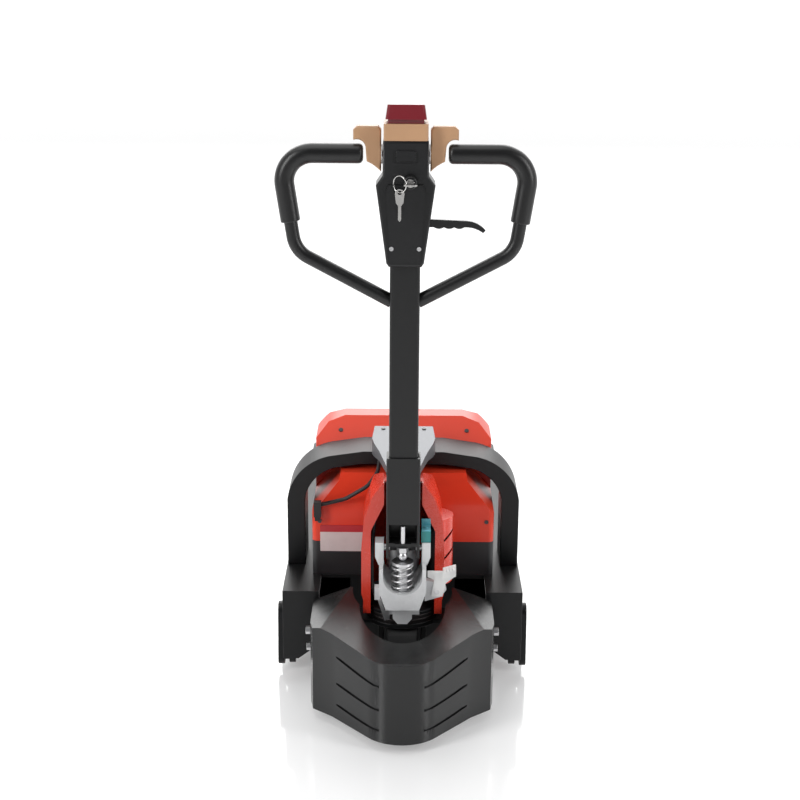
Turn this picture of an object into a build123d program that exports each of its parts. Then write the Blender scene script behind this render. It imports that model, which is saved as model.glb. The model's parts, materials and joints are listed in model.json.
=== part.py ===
"""Electric pallet truck with a hand-pumped lift and an electric drive wheel.

The truck stands on the floor at Z = 0 and is symmetric about X = 0, but for the pedal, the
lever and the motor side of the pump guard. The operator walks at -Y and the forks point to +Y.
All Y places are worked out from the steering axis, which is STEER_Y from the origin.
"""
import math
import os

from build123d import *

# Overall sizes, in millimetres
FORK_LENGTH = 1150.0            # fork face to fork tip
FORK_SPAN = 560.0               # over the outer sides of both forks
FORK_WIDTH = 160.0              # one fork blade
FORK_TOP = 85.0                 # lowered height of the fork tops
LIFT = 115.0                    # travel of the lift
SKIRT_REACH = 287.0             # steering axis to the nose of the wheel skirt
FACE_REACH = 402.0              # steering axis to the fork face
TILLER_TOP = 1291.0             # top of the upright tiller

# Frames: the steering axis is the datum, the origin is under the middle of the truck
OVERALL_LENGTH = SKIRT_REACH + FACE_REACH + FORK_LENGTH
STEER_Y = SKIRT_REACH - OVERALL_LENGTH / 2
RUN = 0.3                       # clearance beside a moving face
FIT = 0.05                      # radial clearance of a pin in its bore

# Drive wheel and its yoke
WHEEL_R = 105.0
WHEEL_W = 70.0
TYRE_T = 18.0
AXLE_R = 10.0
YOKE_CHEEK = 12.0
YOKE_GAP = 5.0
TURN_R = 84.0                   # turntable on top of the yoke
TURN_Z = 214.0                  # underside of the turntable
TURN_T = 8.0
BEARING_IN = 68.0
LINK_TOP = 196.0
LINK_T = 10.0
LINK_BORE = 78.0

# Skirt over the drive wheel
SKIRT_FLOOR = 22.0
SKIRT_HALF = 195.0
SKIRT_WALL = 5.0
SKIRT_REAR = 12.0
SKIRT_RIM = 240.0               # height at the back edge
SKIRT_NOSE = 200.0              # height at the nose crease
WELL_R = 108.0                  # clear radius round the steering unit
SKIRT_BOLTS = ((-40, 160), (-20, 112))
BOLT_R = 5.0

# Base of the chassis
BASE_HALF = FORK_SPAN / 2 - 16
BASE_FRONT = 20.0
BASE_TOP = 224.0
PLATE = 8.0
NOTCH_HALF = 183.0              # clear for the pump as it turns, also when lifted
NOTCH_DEPTH = 94.0
BULKHEAD_FOOT = 34.0
SIDE_FOOT = 61.0
HEEL_START = 170.0              # where the forks start

# Arch
ARCH_FRONT = 170.0
ARCH_DEPTH = 106.0
ARCH_HALF = BASE_HALF - 2
ARCH_TOP = 497.0
ARCH_BAR = 30.0
ARCH_LEG = 40.0

# Crown over the lift ram
CROWN_TOP = 536.0
CROWN_UNDER = 514.0
CROWN_TIP = 40.0
CROWN_BACK = 237.0
CROWN_HALF = 70.0

# Battery box
BOX_HALF = ARCH_HALF - 59
BOX_FRONT = 116.0
TRAY_TOP = 304.0
COVER_LOW = 455.0
COVER_TOP = 530.0
SHELL = 4.0

# Lift linkage
ROCKER_Y = 105.0
ROCKER_Z = 138.0
ROCKER_ARM = 106.0
ROCKER_T = 14.5
STUB_R = 14.0
ROD_W = 16.0
ROD_H = 18.0
LEG_PIVOT_Z = 60.0
LEG_LUG = 35.0
LEG_FROM_TIP = 150.0
LEG_T = 8.0
LEG_PIN_R = 9.0
LINK_PIN_R = 7.0
EYE_PLAY = 3.8                  # play of the rod's rear eye, where the linkage is open
ROLLER_R = 37.0
ROLLER_W = 60.0
# The leg lowers its roller by LIFT, and its lug and the rocker's pin travel alike
LEG_ARM = (LEG_PIVOT_Z - ROLLER_R + LIFT) / 0.92
LEG_DOWN = math.degrees(math.asin((LEG_PIVOT_Z - ROLLER_R) / LEG_ARM))
LEG_UP = math.degrees(math.asin((LEG_PIVOT_Z - ROLLER_R + LIFT) / LEG_ARM))
LUG_SWING = (LEG_UP - LEG_DOWN) / 2
ROCKER_SWING = math.degrees(math.asin(LEG_LUG * math.sin(math.radians(LUG_SWING)) / ROCKER_ARM))

# Pump
PIVOT_Y = -80.0
PIVOT_Z = 372.0
CYLINDER_R = 36.0
RAM_R = 20.0
CYLINDER_TOP = 478.0
PLUNGER_ARM = 22.0
PLUNGER_R = 23.0
STEM_R = 12.0
STROKE = 22.0
PLUNGER_TOP = 350.0
CUP_FLOOR = 284.0
PUMP_HALF = 49.0
EAR_IN = 40.0
EAR_OUT = 58.0
PIN_R = 7.0

# Tiller
TUBE_W = 60.0
TUBE_D = 40.0
BRACKET_W = 70.0
BRACKET_D = 48.0
BRACKET_TOP = 576.0
BRACKET_WALL = 6.0
LOOP_R = 13.5
GRIP_R = 19.5
GRIP_Z = 1195.0
GRIP_END = 83.0
LOOP_HALF = 246.0
LOOP_LOW = (217.0, 1003.0)
LOOP_ROOT_Z = 901.0
LOOP_BEND = 55.0

# Tiller head
HEAD_BASE = 985.0
HEAD_SHOULDER = 1138.0
HEAD_NECK = 1157.0
HEAD_TOP = 1224.0
BLOCK_TOP = 1256.0
HEAD_HALF = 44.0
HEAD_FRONT = 38.0
HEAD_WALL = 3.0
HEAD_SCREWS = ((-27, 1016), (27, 1016))
KEY_Z = 1146.0
KEY_X = 9.0
BARREL_R = 13.0
LEVER_Z = 1060.0
BELLY_TRAVEL = 8.0


def at(x, y, z):
    """A point given from the steering axis."""
    return (x, STEER_Y + y, z)


def front_plane(y):
    """A sketch plane facing the operator: local x is X, local y is Z."""
    return Plane(origin=at(0, y, 0), x_dir=(1, 0, 0), z_dir=(0, -1, 0))


def side_plane(x):
    """A sketch plane facing +X: local x is Y from the steering axis, local y is Z."""
    return Plane(origin=at(x, 0, 0), x_dir=(0, 1, 0), z_dir=(1, 0, 0))


def level_plane(z):
    """A sketch plane facing up: local x is X, local y is Y from the steering axis."""
    return Plane(origin=at(0, 0, z))


def save(piece, name):
    """Label a finished piece and write it as its own file."""
    piece.label = name
    export_step(piece, f"parts/{name}.step")


os.makedirs("parts", exist_ok=True)

# ---------------------------------------------------------------- wheel skirt and link frame
def skirt_outline(inset):
    """Plan of the skirt: a bowed nose that flares into two straight sides."""
    half = SKIRT_HALF - inset
    nose = -SKIRT_REACH + inset
    with BuildSketch(mode=Mode.PRIVATE) as plan:
        with BuildLine():
            bow = ThreePointArc((-70, nose + 32), (0, nose), (70, nose + 32))
            right = Polyline(bow @ 1, (half - 48, nose + 118), (half - 6, nose + 152), (half, nose + 185),
                             (half, SKIRT_REAR - inset), (-half, SKIRT_REAR - inset), (-half, nose + 185))
            Polyline(right @ 1, (-half + 6, nose + 152), (-half + 48, nose + 118), bow @ 0)
        make_face()
    return plan.sketch


def roof(drop):
    """Solid above the skirt's top: a slope down to the nose and one down to each side."""
    rear, nose = SKIRT_RIM - drop, SKIRT_NOSE - drop
    over = SKIRT_HALF + 10
    with BuildPart(mode=Mode.PRIVATE) as above:
        with BuildSketch(side_plane(-over)):
            with BuildLine():
                Polyline((-SKIRT_REACH - 10, nose), (-SKIRT_REACH + 12, nose), (SKIRT_REAR + 10, rear),
                         (SKIRT_REAR + 10, rear + 80), (-SKIRT_REACH - 10, rear + 80), close=True)
            make_face()
        extrude(amount=2 * over)
        with BuildSketch(front_plane(-SKIRT_REACH - 10)):
            for side in (-1, 1):
                with BuildLine():
                    Polyline((side * 105, rear + 2), (side * over, rear - 36),
                             (side * over, rear + 80), (side * 105, rear + 80), close=True)
                make_face()
        extrude(amount=-(SKIRT_REACH + SKIRT_REAR + 20))
    return above.part


def skirt_bolt_cuts():
    """Shanks of the skirt's bolts on both sides, as tools for their holes."""
    with BuildPart(mode=Mode.PRIVATE) as shanks:
        for side in (-1, 1):
            with BuildSketch(side_plane(side * (SKIRT_HALF - SKIRT_WALL - LINK_T))):
                with Locations(*SKIRT_BOLTS):
                    Circle(BOLT_R)
            extrude(amount=side * (SKIRT_WALL + LINK_T))
    return shanks.part


with BuildPart() as wheel_skirt:
    with BuildSketch(level_plane(SKIRT_FLOOR)):
        add(skirt_outline(0))
    extrude(amount=SKIRT_RIM)
    add(roof(0), mode=Mode.SUBTRACT)
    with BuildSketch(level_plane(0)):
        add(skirt_outline(SKIRT_WALL))
        with Locations((0, SKIRT_REAR)):
            Rectangle(2 * (SKIRT_HALF - SKIRT_WALL), 4 * SKIRT_WALL)
    hollow = extrude(amount=SKIRT_RIM + 60, mode=Mode.PRIVATE)
    add(hollow - roof(SKIRT_WALL), mode=Mode.SUBTRACT)
    with BuildSketch(level_plane(SKIRT_NOSE - 40)):
        Circle(WELL_R)
        with Locations((0, -WELL_R / 2)):
            Ellipse(WELL_R - 16, SKIRT_REACH - WELL_R - 30)
    extrude(amount=120, mode=Mode.SUBTRACT)
    add(skirt_bolt_cuts(), mode=Mode.SUBTRACT)
save(wheel_skirt.part, "wheel_skirt")

with BuildPart() as skirt_bolts:
    add(skirt_bolt_cuts())
    for side in (-1, 1):
        with BuildSketch(side_plane(side * SKIRT_HALF)):
            with Locations(*SKIRT_BOLTS):
                RegularPolygon(9, 6)
        extrude(amount=side * 14)
save(skirt_bolts.part, "skirt_bolts")

with BuildPart() as link_frame:
    ear_x = SKIRT_HALF - SKIRT_WALL - LINK_T / 2
    with BuildSketch(level_plane(LINK_TOP)):
        Circle(TURN_R + 4)
        with Locations((0, -30)):
            Rectangle(2 * ear_x, 60)
        Circle(LINK_BORE, mode=Mode.SUBTRACT)
    extrude(amount=-LINK_T)
    with Locations(*[at(side * ear_x, -30, LINK_TOP - 50) for side in (-1, 1)]):
        Box(LINK_T, 60, 100)
    add(skirt_bolt_cuts(), mode=Mode.SUBTRACT)
save(link_frame.part, "link_frame")

# ---------------------------------------------------------------- steering unit and drive wheel
with BuildPart() as steering_bearing:
    with BuildSketch(level_plane(LINK_TOP)):
        Circle(TURN_R)
        Circle(BEARING_IN, mode=Mode.SUBTRACT)
    extrude(amount=TURN_Z - LINK_TOP - RUN)
    with BuildSketch(level_plane((LINK_TOP + TURN_Z) / 2 - 1)):
        Circle(TURN_R)
        Circle(TURN_R - 2, mode=Mode.SUBTRACT)
    extrude(amount=2, mode=Mode.SUBTRACT)
save(steering_bearing.part, "steering_bearing")

motor_place = (70, 10)
cheek_x = WHEEL_W / 2 + YOKE_GAP
with BuildPart() as drive_yoke:
    with BuildSketch(level_plane(TURN_Z)):
        Circle(TURN_R)
    extrude(amount=TURN_T)
    for side in (-1, 1):
        with BuildSketch(side_plane(side * cheek_x)):
            with Locations((0, (WHEEL_R + TURN_Z) / 2)):
                Rectangle(58, TURN_Z - WHEEL_R)
            with Locations((0, WHEEL_R)):
                Circle(29)
        extrude(amount=side * YOKE_CHEEK)
    with BuildSketch(side_plane(-cheek_x - YOKE_CHEEK)):
        with Locations((0, WHEEL_R)):
            Circle(AXLE_R)
    extrude(amount=2 * (cheek_x + YOKE_CHEEK), mode=Mode.SUBTRACT)
save(drive_yoke.part, "drive_yoke")

with BuildPart() as wheel_axle:
    with BuildSketch(side_plane(-cheek_x - YOKE_CHEEK)):
        with Locations((0, WHEEL_R)):
            Circle(AXLE_R)
    extrude(amount=2 * (cheek_x + YOKE_CHEEK))
    for side in (-1, 1):
        with BuildSketch(side_plane(side * (cheek_x + YOKE_CHEEK))):
            with Locations((0, WHEEL_R)):
                RegularPolygon(AXLE_R + 5, 6)
        extrude(amount=side * 6)
save(wheel_axle.part, "wheel_axle")

with BuildPart() as wheel_hub:
    with BuildSketch(side_plane(-WHEEL_W / 2)):
        with Locations((0, WHEEL_R)):
            Circle(WHEEL_R - TYRE_T)
            Circle(AXLE_R + FIT, mode=Mode.SUBTRACT)
    extrude(amount=WHEEL_W)
    for side in (-1, 1):
        with BuildSketch(side_plane(side * WHEEL_W / 2)):
            with Locations((0, WHEEL_R)):
                Circle(WHEEL_R - TYRE_T - 8)
                Circle(AXLE_R + 18, mode=Mode.SUBTRACT)
        extrude(amount=-side * 16, mode=Mode.SUBTRACT)
save(wheel_hub.part, "wheel_hub")

with BuildPart() as wheel_tyre:
    with BuildSketch(side_plane(-WHEEL_W / 2)):
        with Locations((0, WHEEL_R)):
            Circle(WHEEL_R)
            Circle(WHEEL_R - TYRE_T, mode=Mode.SUBTRACT)
    extrude(amount=WHEEL_W)
    chamfer(wheel_tyre.edges().filter_by(GeomType.CIRCLE).sort_by(SortBy.RADIUS)[-2:], 4)
save(wheel_tyre.part, "wheel_tyre")

with BuildPart() as drive_motor:
    # the shaft housing stands on the turntable, inside the guard's flank
    with BuildSketch(level_plane(TURN_Z + TURN_T)):
        with Locations((motor_place[0] - 4, motor_place[1])):
            Circle(12)
    extrude(amount=50)
    with BuildSketch(level_plane(270)):
        with Locations(motor_place):
            Circle(28)
    extrude(amount=124)
save(drive_motor.part, "drive_motor")

# ---------------------------------------------------------------- hydraulic pump
with BuildPart() as lift_cylinder:
    with BuildSketch(level_plane(TURN_Z + TURN_T)):
        Circle(CYLINDER_R)
    extrude(amount=CYLINDER_TOP - TURN_Z - TURN_T)
    with BuildSketch(level_plane(CYLINDER_TOP)):
        Circle(RAM_R + FIT)
    extrude(amount=-(CYLINDER_TOP - TURN_Z - TURN_T - 20), mode=Mode.SUBTRACT)
    top_rings = lift_cylinder.edges().filter_by(GeomType.CIRCLE).group_by(Axis.Z)[-1]
    chamfer(top_rings.sort_by(SortBy.RADIUS)[-1], 4)
save(lift_cylinder.part, "lift_cylinder")

cup_y = PIVOT_Y - PLUNGER_ARM
pump_front = cup_y - PLUNGER_R - 6
with BuildPart() as pump_casting:
    # fork-shaped front wall that carries the tiller between its ears
    with BuildSketch(front_plane(pump_front)):
        with BuildLine():
            Polyline((-PUMP_HALF, PIVOT_Z - 30), (-PUMP_HALF, 290), (-PUMP_HALF + 14, 250),
                     (PUMP_HALF - 14, 250),
                     (PUMP_HALF, 290), (PUMP_HALF, PIVOT_Z - 30), close=True)
        make_face()
        with BuildLine():
            trough = PUMP_HALF - 8
            sides = Polyline((-trough, CUP_FLOOR + trough), (-trough, PIVOT_Z), (trough, PIVOT_Z),
                             (trough, CUP_FLOOR + trough))
            ThreePointArc(sides @ 1, (0, CUP_FLOOR), sides @ 0)
        make_face(mode=Mode.SUBTRACT)
    extrude(amount=pump_front + 20)
    # seat under the plunger's cup, foot on the turntable and the thin nose before it
    with Locations(at(0, cup_y, CUP_FLOOR - 4)):
        Cylinder(PLUNGER_R + 5, 8)
    with Locations(at(0, -62, (TURN_Z + TURN_T + 262) / 2)):
        Box(72, 58, 262 - TURN_Z - TURN_T)
    with BuildSketch(front_plane(-WELL_R + 4)):
        with BuildLine():
            Polyline((-22, 255), (-20, 218), (-10, 206), (10, 206), (20, 218), (22, 255), close=True)
        make_face()
    extrude(amount=-(WELL_R - 4 - TURN_R - 1))
    # ears
    for side in (-1, 1):
        with BuildSketch(front_plane(PIVOT_Y - 17)):
            with BuildLine():
                Polyline((side * EAR_IN, PIVOT_Z + 16), (side * EAR_OUT, PIVOT_Z + 16),
                         (side * EAR_OUT, PIVOT_Z - 16), (side * (PUMP_HALF + 2), PIVOT_Z - 34),
                         (side * EAR_IN, PIVOT_Z - 34), close=True)
            make_face()
        extrude(amount=-34)
    # lug for the release pedal on the right
    with BuildSketch(front_plane(cup_y - 8)):
        with BuildLine():
            Polyline((PUMP_HALF - 2, 310), (88, 300), (92, 288), (80, 272), (PUMP_HALF - 2, 262), close=True)
        make_face()
    extrude(amount=-14)
    # boss on the left
    with Locations(at(-PUMP_HALF - 4, cup_y + 6, 276)):
        Box(12, 22, 26)
    # bores: tiller pivot, pedal pin, cylinder
    with BuildSketch(side_plane(-EAR_OUT)):
        with Locations((PIVOT_Y, PIVOT_Z)):
            Circle(PIN_R)
    extrude(amount=2 * EAR_OUT, mode=Mode.SUBTRACT)
    with BuildSketch(front_plane(cup_y - 8)):
        with Locations((72, 286)):
            Circle(5)
    extrude(amount=-14, mode=Mode.SUBTRACT)
    with Locations(at(0, 0, CUP_FLOOR)):
        Cylinder(CYLINDER_R, 300, mode=Mode.SUBTRACT)
    with Locations(at(0, cup_y, CUP_FLOOR + 20)):
        Cylinder(PLUNGER_R + 1, 40, mode=Mode.SUBTRACT)
    with BuildSketch(level_plane(CUP_FLOOR)):
        with Locations((0, cup_y)):
            Circle(STEM_R + FIT)
    extrude(amount=-STROKE - 3, mode=Mode.SUBTRACT)
save(pump_casting.part, "pump_casting")

with BuildPart() as pump_plunger:
    with BuildSketch(level_plane(CUP_FLOOR + RUN)):
        with Locations((0, cup_y)):
            Circle(STEM_R)
    extrude(amount=PLUNGER_TOP - 6 - CUP_FLOOR - RUN)
    with BuildSketch(level_plane(PLUNGER_TOP - 6)):
        with Locations((0, cup_y)):
            Circle(PLUNGER_R)
    extrude(amount=6)
save(pump_plunger.part, "pump_plunger")

spring_wire = 4.0
spring_turns = 4
spring_z = CUP_FLOOR + spring_wire / 2 + RUN
spring_rise = PLUNGER_TOP - 6 - spring_wire / 2 - RUN - spring_z
with BuildPart() as plunger_spring:
    with BuildLine(Plane(origin=at(0, cup_y, spring_z))):
        coil = Helix(pitch=spring_rise / spring_turns, height=spring_rise, radius=PLUNGER_R - spring_wire / 2)
    with BuildSketch(Plane(origin=coil @ 0, z_dir=coil % 0)):
        Circle(spring_wire / 2)
    sweep(is_frenet=True)
save(plunger_spring.part, "plunger_spring")

pedal_x = 72.0
pedal_z = 286.0
with BuildPart() as release_pedal:
    with BuildSketch(front_plane(cup_y - 8 - RUN)):
        with BuildLine():
            Polyline((pedal_x - 12, pedal_z - 10), (pedal_x + 12, pedal_z - 10), (90, 306), (110, 322),
                     (110, 336),
                     (88, 332), (pedal_x - 20, 332), (pedal_x - 20, 320), (pedal_x - 6, 314), close=True)
        make_face()
        with Locations((pedal_x, pedal_z)):
            Circle(5 + FIT, mode=Mode.SUBTRACT)
    extrude(amount=7)
    with BuildSketch(front_plane(cup_y - 8 - RUN + 7)):
        with BuildLine():
            Polyline((84, 316), (111, 324), (111, 344), (84, 336), close=True)
        make_face()
    extrude(amount=20)
    for step in range(4):
        with Locations(at(88 + 6 * step, cup_y - 22, 338 + 1.8 * step)):
            Box(3, 26, 4)
save(release_pedal.part, "release_pedal")

with BuildPart() as pump_pins:
    # one pin on each side carries the tiller, and one the pedal
    for side in (-1, 1):
        with BuildSketch(side_plane(side * (BRACKET_W / 2 - BRACKET_WALL - 2))):
            with Locations((PIVOT_Y, PIVOT_Z)):
                Circle(PIN_R)
        extrude(amount=side * (EAR_OUT - BRACKET_W / 2 + BRACKET_WALL + 2))
    with BuildSketch(front_plane(cup_y + 6)):
        with Locations((pedal_x, pedal_z)):
            Circle(5)
    extrude(amount=14 + 7 + RUN + 1)
save(pump_pins.part, "pump_pins")

with BuildPart() as release_link:
    # bent lever below the pump that opens the lowering valve
    with BuildSketch(front_plane(-WELL_R + 12)):
        with BuildLine():
            Polyline((-54, 263), (-47, 263), (-37, 232), (-37, 249), (-27, 249), (-27, 214),
                     (-38, 210), close=True)
        make_face()
    extrude(amount=-4)
save(release_link.part, "release_link")

# Guard: a horseshoe shell round the pump and the motor, open to the operator
guard_front = -62.0
guard_r = 98.0
guard_wall = 4.0
guard_lip = 20.0


def mirrored(points):
    """A closed outline from its right half, given from bottom to top."""
    return points + [(-x, z) for x, z in reversed(points)]


def guard_solid(inset, front):
    """The guard's outside, or its hollow when inset by the wall."""
    half = 88 - inset
    radius = guard_r - inset
    meet = math.sqrt(radius**2 - half**2)
    with BuildPart(mode=Mode.PRIVATE) as solid:
        with BuildSketch(level_plane(200)):
            with BuildLine():
                flank = Polyline((half, meet), (half, front), (-half, front), (-half, meet))
                ThreePointArc(flank @ 1, (0, radius), flank @ 0)
            make_face()
        extrude(amount=320)
        with BuildSketch(front_plane(front - 5)):
            Polygon(*mirrored([(84 - inset, 211 - inset), (84 - inset, 242), (88 - inset, 256), (88 - inset, 360),
                               (82 - inset, 430), (66 - inset, 474), (42 - inset, 508 - inset)]), align=None)
        extrude(amount=-220, mode=Mode.INTERSECT)
        with BuildSketch(side_plane(-100)):
            # the back of the top falls away under the crown, the back of the foot over the turntable
            Polygon((0, 509 - inset), (120, 460 - inset), (120, 520), (0, 520), align=None)
            if inset == 0:
                Polygon((-44, 200), (120, 200), (120, 226), (-44, 226), align=None)
        extrude(amount=200, mode=Mode.SUBTRACT)
        with BuildSketch(level_plane(262 - 2 * inset)):
            with Locations(motor_place):
                Circle(38 - inset)
        extrude(amount=150 + inset)
    return solid.part


with BuildPart() as pump_guard:
    add(guard_solid(0, guard_front))
    add(guard_solid(guard_wall, guard_front + guard_wall), mode=Mode.SUBTRACT)
    with BuildSketch(front_plane(guard_front - 5)):
        Polygon(*mirrored([(88 - guard_lip, 190), (88 - guard_lip, 400), (40, 460), (40, 520)]), align=None)
    extrude(amount=-20, mode=Mode.SUBTRACT)
    with BuildSketch(level_plane(440)):
        Circle(CYLINDER_R + 2)
    extrude(amount=80, mode=Mode.SUBTRACT)
    with BuildSketch(front_plane(-60)):
        for z in (330, 372):
            with Locations((98, z)):
                Rectangle(30, 5, rotation=42)
    extrude(amount=-70, mode=Mode.SUBTRACT)
save(pump_guard.part, "pump_guard")

switch_x = BRACKET_W / 2 + 3
with BuildPart() as limit_switch:
    with Locations(at(switch_x + 10, PIVOT_Y, 400.5)):
        Box(20, 28, 25)
save(limit_switch.part, "limit_switch")

with BuildPart() as switch_bracket:
    with BuildSketch(front_plane(PIVOT_Y + 14)):
        Polygon((switch_x + 1, PIVOT_Z + 16), (switch_x + 20, PIVOT_Z + 16), (switch_x + 20, 430),
                (switch_x + 1, 430), align=None)
    extrude(amount=-3)
    with BuildSketch(level_plane(413)):
        with Locations((switch_x + 10.5, PIVOT_Y)):
            Rectangle(19, 28)
    extrude(amount=3)
    with Locations(at(switch_x + 10, PIVOT_Y, 417)):
        Cylinder(4, 3)
save(switch_bracket.part, "switch_bracket")

with BuildPart() as pump_cable:
    # held between the guard and the pump
    route = [at(x, y, z) for x, y, z in ((-58, -40, 430), (-64, -48, 380), (-66, -52, 320), (-64, -56, 268),
                                         (-56, -52, 240))]
    with BuildLine():
        lead = FilletPolyline(*route, radius=40)
    with BuildSketch(Plane(origin=lead @ 0, z_dir=lead % 0)):
        Circle(3.5)
    sweep()
save(pump_cable.part, "pump_cable")

# ---------------------------------------------------------------- tiller
tiller_y = PIVOT_Y
with BuildPart() as tiller_tube:
    with BuildSketch(Plane(origin=at(0, tiller_y, BRACKET_TOP - 60))):
        RectangleRounded(TUBE_W, TUBE_D, 6)
        RectangleRounded(TUBE_W - 6, TUBE_D - 6, 3, mode=Mode.SUBTRACT)
    extrude(amount=HEAD_SHOULDER - BRACKET_TOP + 60)
save(tiller_tube.part, "tiller_tube")

bracket_low = PIVOT_Z - 16
with BuildPart() as tiller_bracket:
    with BuildSketch(Plane(origin=at(0, tiller_y, bracket_low))):
        RectangleRounded(BRACKET_W, BRACKET_D, 4)
        RectangleRounded(TUBE_W, TUBE_D, 6, mode=Mode.SUBTRACT)
    extrude(amount=BRACKET_TOP - bracket_low)
    # the foot is open below: two cheeks, a back wall gone, and a web for the push bolt
    inner = BRACKET_W - 2 * BRACKET_WALL
    with Locations(at(0, tiller_y - 12, (bracket_low + 431) / 2)):
        Box(inner, BRACKET_D, 431 - bracket_low, mode=Mode.SUBTRACT)
    with Locations(at(0, tiller_y - 6, 386)):
        Box(inner, BRACKET_D - 12, 8)
    with Locations(at(0, cup_y + 2, 386)):
        Box(34, 16, 8)
    with Locations(at(0, cup_y, 386)):
        Cylinder(5, 20, mode=Mode.SUBTRACT)
    with BuildSketch(side_plane(-BRACKET_W)):
        with Locations((PIVOT_Y, PIVOT_Z)):
            Circle(PIN_R + FIT)
    extrude(amount=2 * BRACKET_W, mode=Mode.SUBTRACT)
save(tiller_bracket.part, "tiller_bracket")

with BuildPart() as push_bolt:
    # threaded rod through the bracket's web with a domed foot that works the plunger
    foot = PLUNGER_TOP + 1.5
    with Locations(at(0, cup_y, foot + 10)):
        Sphere(10)
    with BuildSketch(Plane(origin=at(0, cup_y, foot + 10))):
        Circle(8)
    extrude(amount=8)
    with BuildSketch(Plane(origin=at(0, cup_y, foot + 18))):
        Circle(5)
    extrude(amount=58)
    # lock nut below the web
    with BuildSketch(Plane(origin=at(0, cup_y, foot + 20))):
        RegularPolygon(13.5, 6)
    extrude(amount=382 - foot - 20)
save(push_bolt.part, "push_bolt")

# Handle: one bent tube and one sleeve on each side of the head
loop_points = [(GRIP_END + 6, GRIP_Z), (LOOP_HALF, GRIP_Z), LOOP_LOW, (TUBE_W / 2 - 4, LOOP_ROOT_Z)]
grip_side = (Vector(*loop_points[2]) - Vector(*loop_points[1])).normalized()
grip_run = (GRIP_Z - 1061) / -grip_side.Y
grip_low = (LOOP_HALF + grip_side.X * grip_run, 1061)


def loop_tube(points, radius):
    """Round bar along a bent line in the tiller's plane."""
    with BuildPart(mode=Mode.PRIVATE) as bar:
        with BuildLine(front_plane(tiller_y)):
            bend = FilletPolyline(*points, radius=LOOP_BEND)
        with BuildSketch(Plane(origin=bend @ 0, z_dir=bend % 0)):
            Circle(radius)
        sweep()
    return bar.part


for side, word in ((-1, "left"), (1, "right")):
    with BuildPart() as handle:
        add(loop_tube([(side * x, z) for x, z in loop_points], LOOP_R))
        with Locations(at(0, tiller_y, LOOP_ROOT_Z)):
            Box(TUBE_W, TUBE_D, 120, mode=Mode.SUBTRACT)
    save(handle.part, f"handle_{word}")
    with BuildPart() as grip:
        sleeve = [(side * GRIP_END, GRIP_Z), (side * LOOP_HALF, GRIP_Z), (side * grip_low[0], grip_low[1])]
        add(loop_tube(sleeve, GRIP_R))
        fillet(grip.edges().filter_by(GeomType.CIRCLE).sort_by(Axis.X)[0 if side > 0 else -1], 9)
        add(loop_tube([(side * x, z) for x, z in loop_points], LOOP_R), mode=Mode.SUBTRACT)
    save(grip.part, f"grip_{word}")

# ---------------------------------------------------------------- tiller head
head_front_y = tiller_y - HEAD_FRONT
head_depth = 2 * HEAD_FRONT


def head_outline(inset):
    """Front view of the head: a box above, shoulders, and a taper down to the tube."""
    return mirrored([(TUBE_W / 2 + RUN if inset else 32, HEAD_BASE - 7), (37 - inset, HEAD_BASE),
                     (58 - inset, HEAD_SHOULDER), (HEAD_HALF + 1 - inset, HEAD_NECK),
                     (HEAD_HALF - inset, HEAD_TOP - inset)])


def head_body():
    """Both covers of the head together, hollow, with the bores that its controls need."""
    with BuildPart(mode=Mode.PRIVATE) as body:
        with BuildSketch(front_plane(head_front_y)):
            Polygon(*head_outline(0), align=None)
        extrude(amount=-head_depth)
        fillet(body.edges().filter_by(Axis.Y, reverse=True).group_by(Axis.Y)[0], 5)
        fillet(body.edges().filter_by(Axis.Y, reverse=True).group_by(Axis.Y)[-1], 8)
        with BuildSketch(front_plane(head_front_y + HEAD_WALL)):
            Polygon(*head_outline(HEAD_WALL), align=None)
        extrude(amount=-(head_depth - 2 * HEAD_WALL), mode=Mode.SUBTRACT)
        # raised panel below the key switch
        with BuildSketch(front_plane(head_front_y + 1)):
            Polygon(*mirrored([(30, HEAD_BASE + 4), (38, HEAD_SHOULDER - 10), (34, HEAD_SHOULDER + 2),
                               (14, HEAD_SHOULDER + 2)]), align=None)
        extrude(amount=7)
        # tube below, throttle shaft across, lever slot on the right, horn and key in front
        with Locations(at(0, tiller_y, HEAD_BASE - 10)):
            Box(TUBE_W, TUBE_D, 40, mode=Mode.SUBTRACT)
        with BuildSketch(side_plane(-80)):
            with Locations((tiller_y, GRIP_Z)):
                Circle(6 + FIT)
        extrude(amount=160, mode=Mode.SUBTRACT)
        with Locations(at(52, tiller_y, LEVER_Z + 4)):
            Box(30, 14, 44, mode=Mode.SUBTRACT)
        with BuildSketch(front_plane(head_front_y)):
            with Locations((0, GRIP_Z)):
                RectangleRounded(50, 27, 6)
        extrude(amount=-1.5, mode=Mode.SUBTRACT)
        with BuildSketch(front_plane(head_front_y - 10)):
            with Locations((0, GRIP_Z)):
                RectangleRounded(38 + 2 * RUN, 20 + 2 * RUN, 4)
            with Locations((KEY_X, KEY_Z)):
                Circle(BARREL_R)
            with Locations(*HEAD_SCREWS):
                Circle(2.5)
        extrude(amount=-22, mode=Mode.SUBTRACT)
    return body.part


whole_head = head_body()
for front, name in ((True, "head_front_cover"), (False, "head_rear_cover")):
    with BuildPart() as cover:
        add(whole_head)
        split(bisect_by=Plane(origin=at(0, tiller_y, 0), z_dir=(0, -1 if front else 1, 0)))
    save(cover.part, name)

with BuildPart() as head_screws:
    for x, z in HEAD_SCREWS:
        with BuildSketch(front_plane(head_front_y - 6)):
            with Locations((x, z)):
                Circle(2.5)
        extrude(amount=-14)
        with BuildSketch(front_plane(head_front_y - 6)):
            with Locations((x, z)):
                Circle(4.2)
        extrude(amount=2)
        with Locations(at(x, head_front_y - 8, z)):
            Box(6, 1.6, 1, mode=Mode.SUBTRACT)
save(head_screws.part, "head_screws")

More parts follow.
